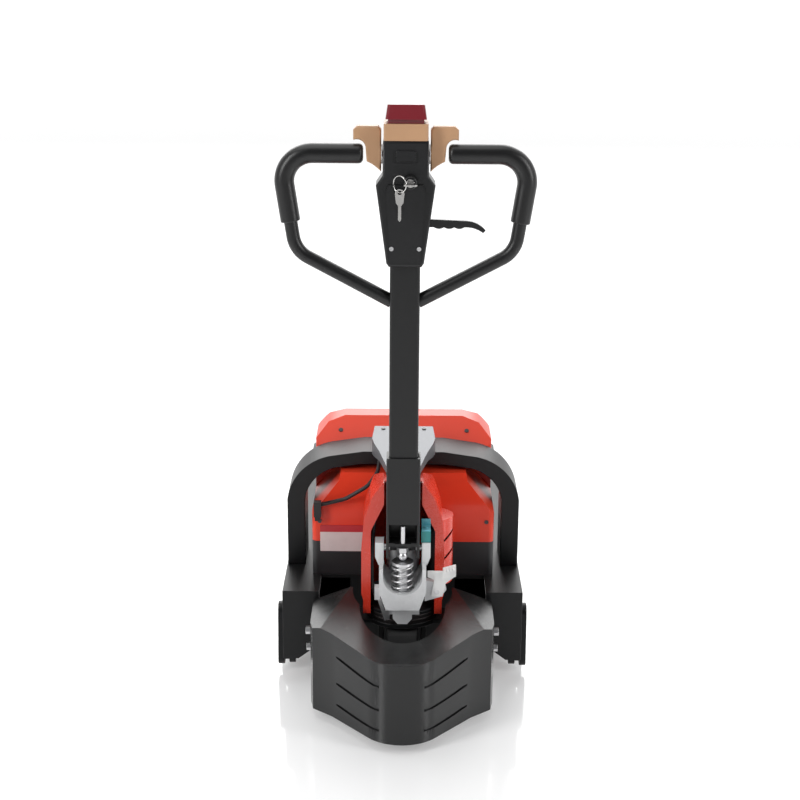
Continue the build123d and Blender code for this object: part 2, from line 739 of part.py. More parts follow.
with BuildPart() as head_top_block:
    with BuildSketch(Plane(origin=at(0, tiller_y, HEAD_TOP))):
        RectangleRounded(2 * HEAD_HALF - 2, head_depth - 2, 5)
    extrude(amount=BLOCK_TOP - HEAD_TOP)
    with BuildSketch(Plane(origin=at(0, tiller_y, BLOCK_TOP))):
        RectangleRounded(2 * HEAD_HALF - 16, head_depth - 16, 3)
    extrude(amount=-(BLOCK_TOP - HEAD_TOP - 6), mode=Mode.SUBTRACT)
save(head_top_block.part, "head_top_block")

with BuildPart() as belly_switch:
    # stem inside the block and a wedge-shaped pad above it
    with BuildSketch(Plane(origin=at(0, tiller_y, HEAD_TOP + 6 + BELLY_TRAVEL + 1))):
        RectangleRounded(2 * HEAD_HALF - 18, head_depth - 18, 3)
    extrude(amount=BLOCK_TOP - HEAD_TOP - 6 - BELLY_TRAVEL + 1)
    with BuildSketch(Plane(origin=at(0, tiller_y, BLOCK_TOP + BELLY_TRAVEL + RUN))):
        RectangleRounded(2 * HEAD_HALF - 8, head_depth - 4, 5)
    with BuildSketch(Plane(origin=at(0, tiller_y + 6, TILLER_TOP))):
        RectangleRounded(2 * HEAD_HALF - 16, head_depth - 22, 5)
    loft()
    with BuildSketch(Plane(origin=at(0, tiller_y, BLOCK_TOP))):
        RectangleRounded(2 * HEAD_HALF - 18, head_depth - 18, 3)
    extrude(amount=BELLY_TRAVEL + RUN)
save(belly_switch.part, "belly_switch")

with BuildPart() as horn_button:
    with BuildSketch(front_plane(head_front_y - 2)):
        with Locations((0, GRIP_Z)):
            RectangleRounded(38, 20, 4)
    extrude(amount=-9)
    fillet(horn_button.faces().sort_by(Axis.Y)[0].edges(), 1)
save(horn_button.part, "horn_button")

with BuildPart() as key_switch:
    with BuildSketch(front_plane(head_front_y - 20)):
        with Locations((KEY_X, KEY_Z)):
            Circle(BARREL_R)
    extrude(amount=-36)
    fillet(key_switch.faces().sort_by(Axis.Y)[0].edges(), 3)
    with BuildSketch(front_plane(head_front_y - 20)):
        with Locations((KEY_X, KEY_Z)):
            Circle(8 + FIT)
    extrude(amount=-30, mode=Mode.SUBTRACT)
save(key_switch.part, "key_switch")

eye_x = KEY_X - 8
eye_y = head_front_y - 42
with BuildPart() as ignition_key:
    # lock plug with the key pushed in: a flat bow with an eye for the ring
    with BuildSketch(front_plane(head_front_y - 21)):
        with Locations((KEY_X, KEY_Z)):
            Circle(8)
    extrude(amount=-26)
    with BuildSketch(level_plane(KEY_Z - 1.5)):
        with Locations((KEY_X, head_front_y - 35)):
            RectangleRounded(26, 30, 6)
        with Locations((eye_x, eye_y)):
            Circle(3.5, mode=Mode.SUBTRACT)
    extrude(amount=3)
save(ignition_key.part, "ignition_key")

# The ring passes up through the bow's eye, and the spare key hangs from its lowest point
ring_r = 16.0
ring_turn = math.radians(50)
ring_x = eye_x - ring_r * math.sin(ring_turn)
ring_y = eye_y + ring_r * math.cos(ring_turn)
with BuildPart() as key_ring:
    ring_axis = (math.cos(ring_turn), math.sin(ring_turn), 0)
    with Locations(Plane(origin=at(ring_x, ring_y, KEY_Z), z_dir=ring_axis)):
        Torus(ring_r, 1.0)
save(key_ring.part, "key_ring")

with BuildPart() as spare_key:
    with BuildSketch(front_plane(ring_y - 1.1)):
        low = KEY_Z - ring_r
        with BuildLine():
            bow = Polyline((ring_x - 9, low - 4), (ring_x - 7, low - 20), (ring_x - 3, low - 25),
                           (ring_x - 3, low - 52), (ring_x, low - 56), (ring_x + 3, low - 52),
                           (ring_x + 3, low - 25), (ring_x + 7, low - 20), (ring_x + 9, low - 4))
            ThreePointArc(bow @ 1, (ring_x, low + 7), bow @ 0)
        make_face()
        with Locations((ring_x, low)):
            Circle(4.2, mode=Mode.SUBTRACT)
    extrude(amount=-2.2)
save(spare_key.part, "spare_key")

with BuildPart() as lowering_lever:
    with BuildSketch(front_plane(tiller_y - 5)):
        with BuildLine():
            top = Line((41, LEVER_Z + 8), (118, LEVER_Z + 5))
            tip = ThreePointArc(top @ 1, (142, LEVER_Z - 1), (158, LEVER_Z - 14))
            end = Line(tip @ 1, (153, LEVER_Z - 19))
            back = ThreePointArc(end @ 1, (138, LEVER_Z - 11), (116, LEVER_Z - 8))
            grip_1 = ThreePointArc(back @ 1, (106, LEVER_Z - 11), (96, LEVER_Z - 8))
            grip_2 = ThreePointArc(grip_1 @ 1, (86, LEVER_Z - 11), (76, LEVER_Z - 8))
            grip_3 = ThreePointArc(grip_2 @ 1, (66, LEVER_Z - 11), (56, LEVER_Z - 8))
            Polyline(grip_3 @ 1, (40, LEVER_Z - 8), (40, LEVER_Z + 8), top @ 0)
        make_face()
        with Locations((40, LEVER_Z)):
            Circle(8)
    extrude(amount=-10)
save(lowering_lever.part, "lowering_lever")

with BuildPart() as throttle_shaft:
    with BuildSketch(side_plane(-64)):
        with Locations((tiller_y, GRIP_Z)):
            Circle(6)
    extrude(amount=128)
    for side in (-1, 1):
        with BuildSketch(side_plane(side * (HEAD_HALF + 1.5))):
            with Locations((tiller_y, GRIP_Z)):
                Circle(20)
        extrude(amount=side * 2)
save(throttle_shaft.part, "throttle_shaft")

for side, word in ((-1, "left"), (1, "right")):
    with BuildPart() as wing:
        with BuildSketch(front_plane(tiller_y - 13)):
            with BuildLine():
                edge = Polyline((side * 48, 1161), (side * 48, 1242), (side * 54, 1249), (side * 94, 1249),
                                (side * 102, 1242), (side * 102, 1222))
                hook = ThreePointArc(edge @ 1, (side * 85, 1220), (side * 78, 1206))
                drop = Line(hook @ 1, (side * 76, 1181))
                ThreePointArc(drop @ 1, (side * 60, 1172), edge @ 0)
            make_face()
        extrude(amount=-26)
        chamfer(wing.edges().filter_by(Axis.Y, reverse=True).group_by(Axis.Y)[0], 2.5)
        chamfer(wing.edges().filter_by(Axis.Y, reverse=True).group_by(Axis.Y)[-1], 2.5)
        with BuildSketch(side_plane(side * 47)):
            with Locations((tiller_y, GRIP_Z)):
                Circle(6)
        extrude(amount=side * 17, mode=Mode.SUBTRACT)
    save(wing.part, f"throttle_wing_{word}")

# ---------------------------------------------------------------- chassis, arch and crown
with BuildPart() as base_frame:
    # deck with a notch for the steering unit
    with BuildSketch(level_plane(BASE_TOP)):
        with Locations((0, (BASE_FRONT + FACE_REACH) / 2)):
            Rectangle(2 * BASE_HALF, FACE_REACH - BASE_FRONT)
        with Locations((0, BASE_FRONT)):
            Rectangle(2 * NOTCH_HALF, 2 * NOTCH_DEPTH, mode=Mode.SUBTRACT)
    extrude(amount=-PLATE)
    # front plate, cut out for the wheel, and the upright at the fork face
    with BuildSketch(front_plane(BASE_FRONT)):
        for side in (-1, 1):
            edge = side * BASE_HALF
            Polygon((side * NOTCH_HALF, SIDE_FOOT + 20), (edge - side * 60, SIDE_FOOT + 20),
                    (edge - side * 34, SIDE_FOOT), (edge, SIDE_FOOT), (edge, BASE_TOP - PLATE),
                    (side * NOTCH_HALF, BASE_TOP - PLATE), align=None)
    extrude(amount=-PLATE)
    with Locations(at(0, FACE_REACH - PLATE / 2, (BASE_TOP - PLATE + FORK_TOP) / 2)):
        Box(2 * BASE_HALF, PLATE, BASE_TOP - PLATE - FORK_TOP)
    # bulkhead behind the wheel, between the forks
    with Locations(at(0, BASE_FRONT + NOTCH_DEPTH + PLATE / 2, (BASE_TOP - PLATE + BULKHEAD_FOOT) / 2)):
        Box(FORK_SPAN - 2 * FORK_WIDTH - 4, PLATE, BASE_TOP - PLATE - BULKHEAD_FOOT)
    # side plates with bushed holes for the rockers
    for side in (-1, 1):
        with BuildSketch(side_plane(side * BASE_HALF)):
            Polygon((BASE_FRONT, SIDE_FOOT), (HEEL_START - 6, SIDE_FOOT), (HEEL_START - 6, FORK_TOP),
                    (FACE_REACH, FORK_TOP), (FACE_REACH, BASE_TOP), (BASE_FRONT, BASE_TOP), align=None)
        extrude(amount=-side * PLATE)
        with BuildSketch(side_plane(side * BASE_HALF)):
            with Locations((ROCKER_Y, ROCKER_Z)):
                Circle(STUB_R + 8)
        extrude(amount=-side * (PLATE + 18))
        with BuildSketch(side_plane(side * BASE_HALF)):
            with Locations((ROCKER_Y, ROCKER_Z)):
                Circle(STUB_R + FIT)
        extrude(amount=-side * (PLATE + 18), mode=Mode.SUBTRACT)
save(base_frame.part, "base_frame")

fork_x = (FORK_SPAN - FORK_WIDTH) / 2
fork_tip = FACE_REACH + FORK_LENGTH
fork_low = 30.0
fork_wall = 4.0
leg_y = fork_tip - LEG_FROM_TIP
for side, word in ((-1, "left"), (1, "right")):
    with BuildPart() as fork:
        with BuildSketch(level_plane(FORK_TOP)):
            with BuildLine():
                nose = ThreePointArc((side * fork_x - 42, fork_tip - 12), (side * fork_x, fork_tip),
                                     (side * fork_x + 42, fork_tip - 12))
                Polyline(nose @ 1, (side * fork_x + FORK_WIDTH / 2, fork_tip - 110),
                         (side * fork_x + FORK_WIDTH / 2, HEEL_START),
                         (side * fork_x - FORK_WIDTH / 2, HEEL_START),
                         (side * fork_x - FORK_WIDTH / 2, fork_tip - 110), nose @ 0)
            make_face()
        extrude(amount=fork_low - FORK_TOP)
        with BuildSketch(level_plane(FORK_TOP - fork_wall)):
            with Locations((side * fork_x, (HEEL_START + fork_tip - 110) / 2 - 2)):
                Rectangle(FORK_WIDTH - 2 * fork_wall, fork_tip - 110 - HEEL_START + 4)
        extrude(amount=fork_low - FORK_TOP, mode=Mode.SUBTRACT)
        with BuildSketch(side_plane(side * fork_x - FORK_WIDTH)):
            # the tip slopes up below and down above, to slide into a pallet
            past = fork_tip + 5
            Polygon((fork_tip - 100, fork_low - 1), (past, fork_low - 1), (past, 50), align=None)
            Polygon((fork_tip - 50, FORK_TOP + 1), (past, FORK_TOP + 1), (past, 66), align=None)
        extrude(amount=2 * FORK_WIDTH, mode=Mode.SUBTRACT)
        with BuildSketch(side_plane(side * fork_x - FORK_WIDTH)):
            with Locations((leg_y, LEG_PIVOT_Z)):
                Circle(LEG_PIN_R)
            # joint between the heel, under the chassis, and the blade
            with Locations((FACE_REACH + 3, FORK_TOP)):
                Rectangle(3, 2)
        extrude(amount=2 * FORK_WIDTH, mode=Mode.SUBTRACT)
    save(fork.part, f"fork_{word}")

with BuildPart() as fork_pins:
    for side in (-1, 1):
        with BuildSketch(side_plane(side * fork_x - FORK_WIDTH / 2)):
            with Locations((leg_y, LEG_PIVOT_Z)):
                Circle(LEG_PIN_R)
        extrude(amount=FORK_WIDTH)
save(fork_pins.part, "fork_pins")

with BuildPart() as arch_frame:
    with BuildSketch(front_plane(ARCH_FRONT)):
        half = ARCH_HALF
        with BuildLine():
            right = Line((half, BASE_TOP), (half, 382))
            shoulder = ThreePointArc(right @ 1, (half - 32, 450), (half - 98, 486))
            top = Polyline(shoulder @ 1, (90, ARCH_TOP), (-90, ARCH_TOP), (98 - half, 486))
            over = ThreePointArc(top @ 1, (32 - half, 450), (-half, 382))
            foot = Polyline(over @ 1, (-half, BASE_TOP), (ARCH_LEG - half, BASE_TOP), (ARCH_LEG - half, 384))
            under = ThreePointArc(foot @ 1, (ARCH_LEG + 22 - half, 430), (108 - half, 458))
            flat = Polyline(under @ 1, (-94, ARCH_TOP - ARCH_BAR), (94, ARCH_TOP - ARCH_BAR), (half - 108, 458))
            inside = ThreePointArc(flat @ 1, (half - ARCH_LEG - 22, 430), (half - ARCH_LEG, 384))
            Polyline(inside @ 1, (half - ARCH_LEG, BASE_TOP), right @ 0)
        make_face()
    extrude(amount=-ARCH_DEPTH)
save(arch_frame.part, "arch_frame")

arch_back = ARCH_FRONT + ARCH_DEPTH
cover_step = arch_back + 5
slope_run, slope_rise = 56, 54
with BuildPart() as cover_screws:
    # on the battery cover's front slope and lower face, and on the crown's back
    slope = Plane(origin=at(0, cover_step, COVER_TOP - slope_rise), x_dir=(1, 0, 0),
                  z_dir=(0, -slope_rise, slope_run))
    with BuildSketch(slope.offset(-3)):
        with Locations((-146, 38), (146, 38)):
            Circle(5)
    extrude(amount=5)
    with BuildSketch(front_plane(BOX_FRONT - 2)):
        with Locations((17 - BOX_HALF, 352), (BOX_HALF - 17, 352)):
            Circle(4.5)
    extrude(amount=-5)
    with BuildSketch(level_plane(CROWN_TOP - 4)):
        with Locations((-46, CROWN_BACK - 22), (46, CROWN_BACK - 22)):
            Circle(4.5)
    extrude(amount=6)
save(cover_screws.part, "cover_screws")

with BuildPart() as crown:
    with BuildSketch(level_plane(ARCH_TOP)):
        with BuildLine():
            tip = ThreePointArc((-34, -28), (0, -CROWN_TIP), (34, -28))
            taper = ThreePointArc(tip @ 1, (48, 40), (64, 110))
            rear = Polyline(taper @ 1, (CROWN_HALF, 150), (CROWN_HALF - 4, CROWN_BACK),
                            (4 - CROWN_HALF, CROWN_BACK),
                            (-CROWN_HALF, 150), (-64, 110))
            ThreePointArc(rear @ 1, (-48, 40), tip @ 0)
        make_face()
    extrude(amount=CROWN_TOP - ARCH_TOP)
    with BuildSketch(side_plane(-CROWN_HALF - 5)):
        Polygon((-CROWN_TIP - 1, ARCH_TOP - 1), (ARCH_FRONT, ARCH_TOP - 1), (60, CROWN_UNDER),
                (-CROWN_TIP - 1, CROWN_UNDER), align=None)
        Polygon((-CROWN_TIP - 1, CROWN_TOP - 8), (60, CROWN_TOP), (60, CROWN_TOP + 9),
                (-CROWN_TIP - 1, CROWN_TOP + 9), align=None)
    extrude(amount=2 * CROWN_HALF + 10, mode=Mode.SUBTRACT)
    add(cover_screws.part, mode=Mode.SUBTRACT)
save(crown.part, "crown")

with BuildPart() as lift_ram:
    with BuildSketch(level_plane(CROWN_UNDER)):
        Circle(RAM_R)
    extrude(amount=-(CROWN_UNDER - 300))
save(lift_ram.part, "lift_ram")

# ---------------------------------------------------------------- battery box on the deck
box_depth = FACE_REACH - BOX_FRONT
with BuildPart() as battery_tray:
    with BuildSketch(level_plane(BASE_TOP)):
        with Locations((0, BOX_FRONT + box_depth / 2)):
            RectangleRounded(2 * BOX_HALF, box_depth, 12)
            RectangleRounded(2 * (BOX_HALF - SHELL), box_depth - 2 * SHELL, 9, mode=Mode.SUBTRACT)
    extrude(amount=TRAY_TOP - BASE_TOP)
    with BuildSketch(level_plane(BASE_TOP)):
        with Locations((0, BOX_FRONT + box_depth / 2)):
            RectangleRounded(2 * BOX_HALF, box_depth, 12)
    extrude(amount=SHELL)
save(battery_tray.part, "battery_tray")


def cover_solid(inset):
    """The battery cover's outside, or its hollow when inset by the wall."""
    step = cover_step + inset
    back = FACE_REACH - inset
    front = BOX_FRONT + inset
    with BuildPart(mode=Mode.PRIVATE) as solid:
        with BuildSketch(side_plane(-BOX_HALF + inset)):
            Polygon((front, TRAY_TOP - inset), (front, 396), (front + 34, COVER_LOW - inset),
                    (step, COVER_LOW - inset), (step, COVER_TOP - slope_rise),
                    (step + slope_run, COVER_TOP - inset),
                    (back - 14, COVER_TOP - inset), (back, COVER_TOP - 22 - inset), (back, TRAY_TOP - inset),
                    align=None)
        extrude(amount=2 * (BOX_HALF - inset))
        upright = solid.edges().filter_by(Axis.Z)
        fillet(upright, 12 - inset)
        with BuildSketch(front_plane(0)):
            # shoulders of the top
            for side in (-1, 1):
                edge = side * (BOX_HALF - inset)
                Polygon((edge, 488 - inset), (edge - side * 28, 518 - inset),
                        (edge - side * 66, COVER_TOP - inset), (edge - side * 66, 600),
                        (edge + side * 5, 600), (edge + side * 5, 488 - inset), align=None)
        extrude(amount=-500, mode=Mode.SUBTRACT)
        with BuildSketch(front_plane(0)):
            # corners that pass through the arch
            for side in (-1, 1):
                edge = side * (BOX_HALF - inset)
                Polygon((edge, 372 - inset), (edge - side * 60, COVER_LOW - 16 - inset),
                        (edge - side * 90, 600),
                        (edge + side * 5, 600), (edge + side * 5, 372 - inset), align=None)
        extrude(amount=-step, mode=Mode.SUBTRACT)
    return solid.part


with BuildPart() as battery_cover:
    add(cover_solid(0))
    add(cover_solid(SHELL), mode=Mode.SUBTRACT)
    with Locations(at(0, FACE_REACH / 2, TRAY_TOP - 20)):
        Box(2 * BOX_HALF + 20, 2 * FACE_REACH, 40, mode=Mode.SUBTRACT)
    add(cover_screws.part, mode=Mode.SUBTRACT)
save(battery_cover.part, "battery_cover")

with BuildPart() as battery_pack:
    with BuildSketch(level_plane(BASE_TOP + SHELL)):
        with Locations((25, 258)):
            RectangleRounded(200, 180, 8)
    extrude(amount=190)
save(battery_pack.part, "battery_pack")

with BuildPart() as drive_controller:
    with BuildSketch(level_plane(BASE_TOP + SHELL)):
        with Locations((-140, 220)):
            RectangleRounded(90, 150, 5)
    extrude(amount=30)
    with BuildSketch(level_plane(BASE_TOP + SHELL + 30)):
        for fin in range(7):
            with Locations((-170 + 10 * fin, 220)):
                Rectangle(4, 140)
    extrude(amount=22)
save(drive_controller.part, "drive_controller")

with BuildPart() as rating_plate:
    with BuildSketch(front_plane(BOX_FRONT)):
        with Locations((67 - BOX_HALF, 311)):
            RectangleRounded(98, 62, 2)
    extrude(amount=1.5)
save(rating_plate.part, "rating_plate")

with BuildPart() as battery_cable:
    # from a plug on the cover's left corner, across its face and up to the crown
    with Locations(at(-190, BOX_FRONT - 9, 384)):
        Box(16, 18, 34)
    with Locations(at(-190, BOX_FRONT - 9, 362)):
        Box(12, 12, 10)
    route = [at(x, y, z) for x, y, z in ((-182, 107, 394), (-128, 106, 408), (-78, 103, 440), (-56, 100, 474),
                                         (-50, 99, 516))]
    with BuildLine():
        lead = FilletPolyline(*route, radius=[60, 60, 45])
    with BuildSketch(Plane(origin=lead @ 0, z_dir=lead % 0)):
        Circle(4.5)
    sweep()
    add(crown.part, mode=Mode.SUBTRACT)
save(battery_cable.part, "battery_cable")

# ---------------------------------------------------------------- lift linkage and load rollers
def swing(length, degrees):
    """Offset in Y and Z of a point on an arm, with 0 degrees straight down and + towards the tips."""
    turn = math.radians(degrees)
    return length * math.sin(turn), -length * math.cos(turn)


rocker_dy, rocker_dz = swing(ROCKER_ARM, -ROCKER_SWING)
lug_dy, lug_dz = swing(LEG_LUG, -LUG_SWING)
rocker_pin = (ROCKER_Y + rocker_dy, ROCKER_Z + rocker_dz)
lug_pin = (leg_y + lug_dy, LEG_PIVOT_Z + lug_dz)
axle_place = (leg_y - LEG_ARM * math.cos(math.radians(LEG_DOWN)), ROLLER_R)
rod_in = fork_x + ROLLER_W / 2 + 1 + LEG_T + 2
rocker_in = BASE_HALF + 1.5

with BuildPart() as rockers:
    # one on each side: stub shaft through the side plate, arm, and the pin for the push rod
    for side in (-1, 1):
        with BuildSketch(side_plane(side * rocker_in)):
            with Locations((ROCKER_Y, ROCKER_Z)):
                Circle(22)
            with Locations(rocker_pin):
                Circle(17)
            Polygon((ROCKER_Y - 22, ROCKER_Z), (ROCKER_Y + 22, ROCKER_Z), (rocker_pin[0] + 17, rocker_pin[1]),
                    (rocker_pin[0] - 17, rocker_pin[1]), align=None)
        extrude(amount=side * ROCKER_T)
        with BuildSketch(side_plane(side * (rocker_in - 36))):
            with Locations((ROCKER_Y, ROCKER_Z)):
                Circle(STUB_R)
        extrude(amount=side * 36)
        with BuildSketch(side_plane(side * rod_in)):
            with Locations(rocker_pin):
                Circle(LINK_PIN_R)
        extrude(amount=side * (rocker_in - rod_in))
save(rockers.part, "rockers")

with BuildPart() as push_rods:
    for side in (-1, 1):
        with BuildSketch(side_plane(side * rod_in)):
            with Locations(rocker_pin):
                Circle(14)
            with Locations(lug_pin):
                Circle(14.5)
            Polygon((rocker_pin[0], rocker_pin[1] - ROD_H / 2), (lug_pin[0], lug_pin[1] - ROD_H / 2),
                    (lug_pin[0], lug_pin[1] + ROD_H / 2),
                    (rocker_pin[0], rocker_pin[1] + ROD_H / 2), align=None)
            with Locations(rocker_pin):
                Circle(LINK_PIN_R + FIT, mode=Mode.SUBTRACT)
            with Locations(lug_pin):
                Circle(LINK_PIN_R + EYE_PLAY, mode=Mode.SUBTRACT)
        extrude(amount=side * (ROD_W - 1.5))
save(push_rods.part, "push_rods")

with BuildPart() as roller_legs:
    for side in (-1, 1):
        for cheek in (-1, 1):
            outer = cheek == side
            with BuildSketch(side_plane(side * fork_x + cheek * (ROLLER_W / 2 + 1))):
                with Locations((leg_y, LEG_PIVOT_Z), axle_place):
                    Circle(15)
                Polygon((leg_y, LEG_PIVOT_Z + 15), (axle_place[0], axle_place[1] + 15),
                        (axle_place[0], axle_place[1] - 15), (leg_y, LEG_PIVOT_Z - 15), align=None)
                if outer:
                    with Locations(lug_pin):
                        Circle(13)
                    Polygon((leg_y - 13, LEG_PIVOT_Z), (leg_y + 13, LEG_PIVOT_Z), (lug_pin[0] + 13, lug_pin[1]),
                            (lug_pin[0] - 13, lug_pin[1]), align=None)
                with Locations((leg_y, LEG_PIVOT_Z)):
                    Circle(LEG_PIN_R + FIT, mode=Mode.SUBTRACT)
            extrude(amount=cheek * LEG_T)
        with BuildSketch(side_plane(side * fork_x - ROLLER_W / 2 - 1)):
            with Locations(axle_place):
                Circle(8)
        extrude(amount=ROLLER_W + 2)
        with BuildSketch(side_plane(side * (rod_in - 2 - RUN))):
            with Locations(lug_pin):
                Circle(LINK_PIN_R)
        extrude(amount=side * (ROD_W + 2))
save(roller_legs.part, "roller_legs")

for side, word in ((-1, "left"), (1, "right")):
    with BuildPart() as roller:
        with BuildSketch(side_plane(side * fork_x - ROLLER_W / 2)):
            with Locations(axle_place):
                Circle(ROLLER_R)
                Circle(8 + FIT, mode=Mode.SUBTRACT)
        extrude(amount=ROLLER_W)
        chamfer(roller.edges().filter_by(GeomType.CIRCLE).group_by(SortBy.RADIUS)[-1], 3)
    save(roller.part, f"load_roller_{word}")
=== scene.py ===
# %% [markdown]
# # An electric pallet truck
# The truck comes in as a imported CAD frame: steel chassis, pump, tiller, wheels and forks, every piece
# already in place and on its own body. Here it gets what the shop floor gives it: softened edges,
# moulded and painted finishes, and the small marks and fixings that tell the eye how big it is.

# %% Load the frame
import json
import math

import bmesh
import bpy
from mathutils import Euler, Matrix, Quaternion, Vector
from mathutils.bvhtree import BVHTree


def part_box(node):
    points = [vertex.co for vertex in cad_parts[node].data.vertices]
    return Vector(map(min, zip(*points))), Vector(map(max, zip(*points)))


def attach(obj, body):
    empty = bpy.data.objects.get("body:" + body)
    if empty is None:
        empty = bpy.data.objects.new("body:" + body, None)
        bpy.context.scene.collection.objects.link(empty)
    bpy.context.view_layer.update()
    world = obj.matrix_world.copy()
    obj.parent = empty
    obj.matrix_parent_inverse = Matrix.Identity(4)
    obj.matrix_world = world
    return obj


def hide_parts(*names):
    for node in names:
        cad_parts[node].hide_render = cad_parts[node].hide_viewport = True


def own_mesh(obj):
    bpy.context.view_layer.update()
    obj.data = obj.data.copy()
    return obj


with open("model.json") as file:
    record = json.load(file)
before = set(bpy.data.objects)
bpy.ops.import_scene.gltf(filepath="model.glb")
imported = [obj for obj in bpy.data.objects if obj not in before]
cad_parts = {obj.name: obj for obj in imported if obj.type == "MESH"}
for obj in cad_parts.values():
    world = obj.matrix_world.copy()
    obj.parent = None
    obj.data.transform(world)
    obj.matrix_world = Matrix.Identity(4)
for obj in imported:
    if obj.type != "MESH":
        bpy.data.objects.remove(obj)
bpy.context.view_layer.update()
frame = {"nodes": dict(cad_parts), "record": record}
NODES = frame["nodes"]

# %% [markdown]
# ## Writing finishes as sums
# A procedural finish is mostly arithmetic on noise. Wrapping an output socket in a small class lets the
# sum be written as a sum, and each operator adds the Math node that does it. Anything that is not
# arithmetic goes through one method, which sets the node's own settings first and then its sockets.

# %% Wires and finishes
class Wire:
    """One output socket, which can be added, multiplied and compared like a number."""

    def __init__(self, finish, socket):
        self.finish = finish
        self.socket = socket

    def sum(self, operation, first, second):
        return self.finish.node("ShaderNodeMath", {"operation": operation}, {0: first, 1: second})

    def __add__(self, other):
        return self.sum("ADD", self, other)

    def __radd__(self, other):
        return self.sum("ADD", other, self)

    def __sub__(self, other):
        return self.sum("SUBTRACT", self, other)

    def __mul__(self, other):
        return self.sum("MULTIPLY", self, other)

    def __gt__(self, other):
        return self.sum("GREATER_THAN", self, other)

    def clamped(self):
        return self.finish.node("ShaderNodeClamp", {}, {0: self})


class Finish:
    """One material: a Principled shader with constants set on it, and the nodes that vary it."""

    def __init__(self, name, **constants):
        self.material = bpy.data.materials.new(name)
        self.material.use_nodes = True
        self.tree = self.material.node_tree
        self.shader = self.tree.nodes["Principled BSDF"]
        for label, value in constants.items():
            self.shader.inputs[label.replace("_", " ")].default_value = value
        self.place = self.node("ShaderNodeTexCoord", out="Object")

    def plug(self, socket, value):
        if isinstance(value, Wire):
            self.tree.links.new(value.socket, socket)
        else:
            socket.default_value = value

    def node(self, kind, settings=None, sockets=None, out=0):
        made = self.tree.nodes.new(kind)
        for label, value in (settings or {}).items():
            setattr(made, label, value)
        for label, value in (sockets or {}).items():
            self.plug(made.inputs[label], value)
        return Wire(self, made.outputs[out])

    def feed(self, label, value):
        self.plug(self.shader.inputs[label], value)

    def noise(self, scale, detail=3.0, rough=0.5, where=None):
        return self.node("ShaderNodeTexNoise", {}, {"Vector": where or self.place, "Scale": scale,
                                                    "Detail": detail, "Roughness": rough})

    def stretched(self, x, y, z):
        return self.node("ShaderNodeMapping", {}, {"Vector": self.place, "Scale": (x, y, z)})

    def mix(self, amount, low, high):
        return self.node("ShaderNodeMix", {"data_type": "RGBA"}, {0: amount, 6: low, 7: high}, out=2)

    def bump(self, height, strength, depth):
        self.feed("Normal", self.node("ShaderNodeBump", {}, {"Strength": strength, "Distance": depth,
                                                             "Height": height}))

    def upward(self):
        normal = self.node("ShaderNodeNewGeometry", out="Normal")
        return self.node("ShaderNodeSeparateXYZ", {}, {0: normal}, out="Z")


def rgb(red, green, blue):
    return (red, green, blue, 1.0)


print("finish tools ready")

# %% [markdown]
# ## Coatings and mouldings
# Most of the truck is either powder coat over steel or moulded plastic. Both are one colour that wanders
# slightly, a roughness that wanders more, a very fine surface texture, and a little dust where a face
# looks up. One recipe with different numbers covers them, so the finishes stay related.

# %% One recipe for coats and mouldings
DUST = rgb(0.42, 0.41, 0.39)
LOOKS_UP = 0.6                  # the normal's Z above which dust settles


def coat(name, colour, rough, wander=0.08, texture=900.0, depth=0.00012, strength=0.35, dust=0.06,
         **constants):
    made = Finish(name, **constants)
    broad = made.noise(7.0, 4.0)
    fine = made.noise(texture, 2.0)
    darker = rgb(*[0.82 * part for part in colour])
    lighter = rgb(*[min(1.0, 1.16 * part) for part in colour])
    body = made.mix(broad, darker, lighter)
    settled = (made.upward() > LOOKS_UP) * made.noise(26.0, 5.0, 0.65) * dust
    made.feed("Base Color", made.mix(settled, body, DUST))
    made.feed("Roughness", (rough + (broad - 0.5) * wander + (fine - 0.5) * wander + settled).clamped())
    made.bump(fine, strength, depth)
    return made


skirt_plastic = coat("skirt_plastic", (0.0045, 0.0048, 0.0052), 0.25, wander=0.06, texture=1500.0, dust=0.025,
                     strength=0.3)
cover_plastic = coat("cover_plastic", (0.80, 0.048, 0.016), 0.3, wander=0.07, texture=500.0, depth=0.00008,
                     strength=0.25, dust=0.02, Specular_IOR_Level=0.4)
guard_paint = coat("guard_paint", (0.80, 0.05, 0.024), 0.27, texture=420.0, depth=0.0001, dust=0.02,
                   Coat_Weight=0.35, Coat_Roughness=0.1)
chassis_paint = coat("chassis_paint", (0.006, 0.0063, 0.007), 0.4, wander=0.08, texture=620.0, depth=0.00016,
                     dust=0.02, Specular_IOR_Level=0.32)
crown_paint = coat("crown_paint", (0.16, 0.165, 0.175), 0.42, wander=0.06, texture=500.0, depth=0.00008,
                   strength=0.25, dust=0.02, Metallic=0.5)
tiller_paint = coat("tiller_paint", (0.005, 0.0052, 0.0056), 0.38, wander=0.08, texture=700.0, depth=0.00015,
                    dust=0.02)
head_plastic = coat("head_plastic", (0.006, 0.0063, 0.007), 0.32, wander=0.08, texture=1700.0, depth=0.00012)
tan_plastic = coat("tan_plastic", (0.50, 0.29, 0.16), 0.38, wander=0.08, texture=1500.0, depth=0.0001,
                   dust=0.05)
switch_plastic = coat("switch_plastic", (0.20, 0.014, 0.022), 0.2, wander=0.05, texture=600.0, depth=0.00005,
                      strength=0.2, dust=0.03, Coat_Weight=0.8, Coat_Roughness=0.06)
pedal_plastic = coat("pedal_plastic", (0.82, 0.82, 0.81), 0.4, texture=900.0, dust=0.1)
teal_plastic = coat("teal_plastic", (0.03, 0.24, 0.24), 0.38, texture=900.0)
bracket_coat = coat("bracket_coat", (0.13, 0.46, 0.55), 0.3, texture=700.0)
tray_plastic = coat("tray_plastic", (0.02, 0.02, 0.022), 0.4, texture=1100.0, dust=0.08)
